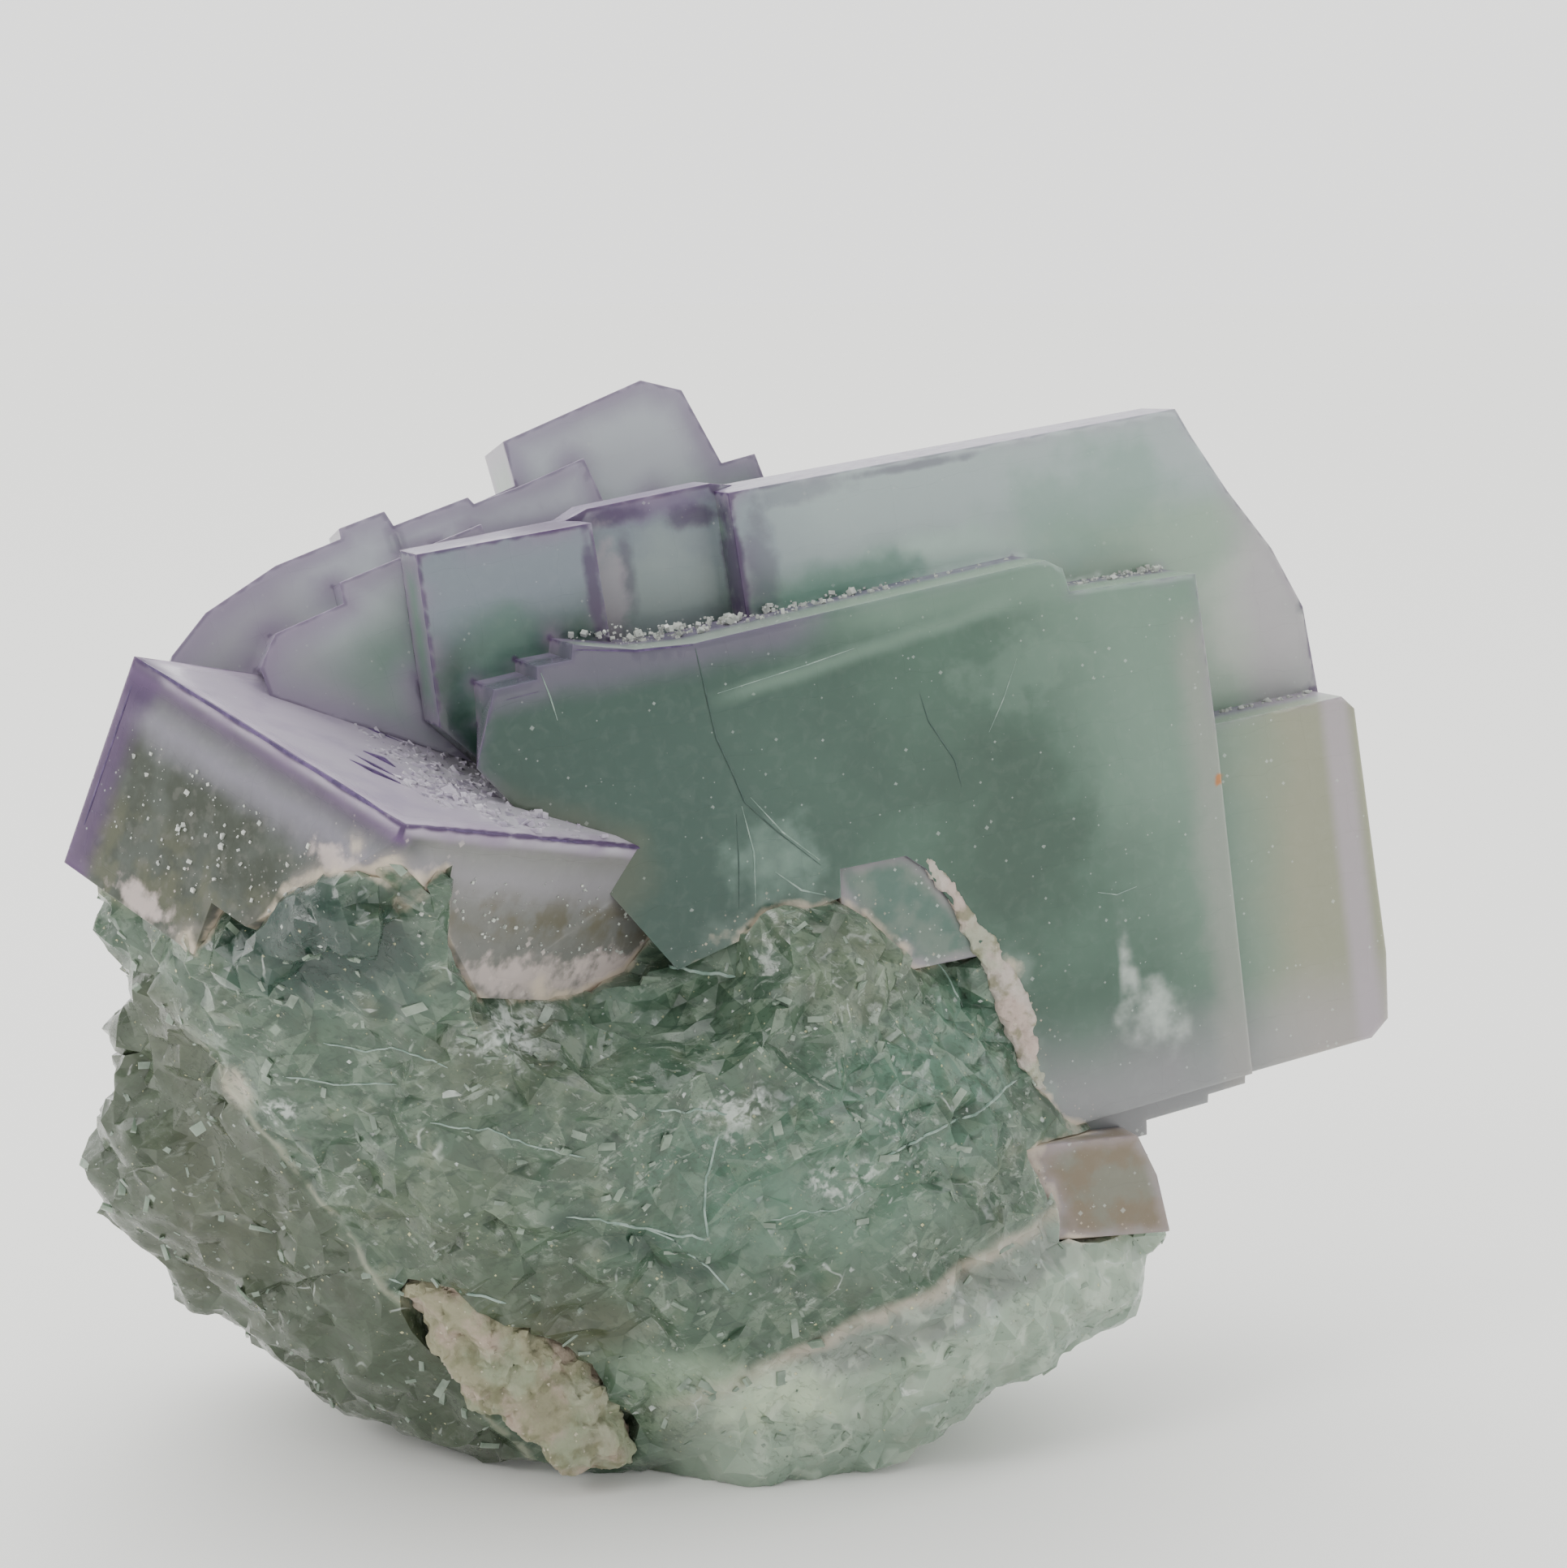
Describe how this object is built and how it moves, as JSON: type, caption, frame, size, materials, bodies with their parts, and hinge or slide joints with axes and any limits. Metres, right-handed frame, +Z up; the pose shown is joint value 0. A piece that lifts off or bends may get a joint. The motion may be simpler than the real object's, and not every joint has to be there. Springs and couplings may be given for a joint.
{
  "type": "fluorite specimen",
  "caption": "Hand-sized cluster of intergrown cubic fluorite crystals, green with purple edges, on a broken glassy base, to rest on a surface.",
  "frame": {"origin": "centre of the bounding box's underside, on the surface that the specimen rests on", "axes": "+Z up, +X along the specimen's longest side, -Y towards the large stepped crystal's front face"},
  "size_m": [0.079, 0.0498, 0.064],
  "materials": {
    "main_crystal": "glassy, green core with lilac margins",
    "left_crystal": "glassy, lilac with dark purple edges",
    "rear_crystal": "glassy, grey-lilac",
    "inset_crystal": "glassy, grey-green",
    "lower_crystal": "frosted, brownish purple",
    "fractured_base": "broken, glassy green",
    "pale_crust": "rough, cream"
  },
  "bodies": {
    "root": {"main_crystal": "main_crystal", "left_crystal": "left_crystal", "rear_crystal": "rear_crystal", "inset_crystal": "inset_crystal", "lower_crystal": "lower_crystal", "fractured_base": "fractured_base", "pale_crust": "pale_crust"}
  },
  "joints": []
}
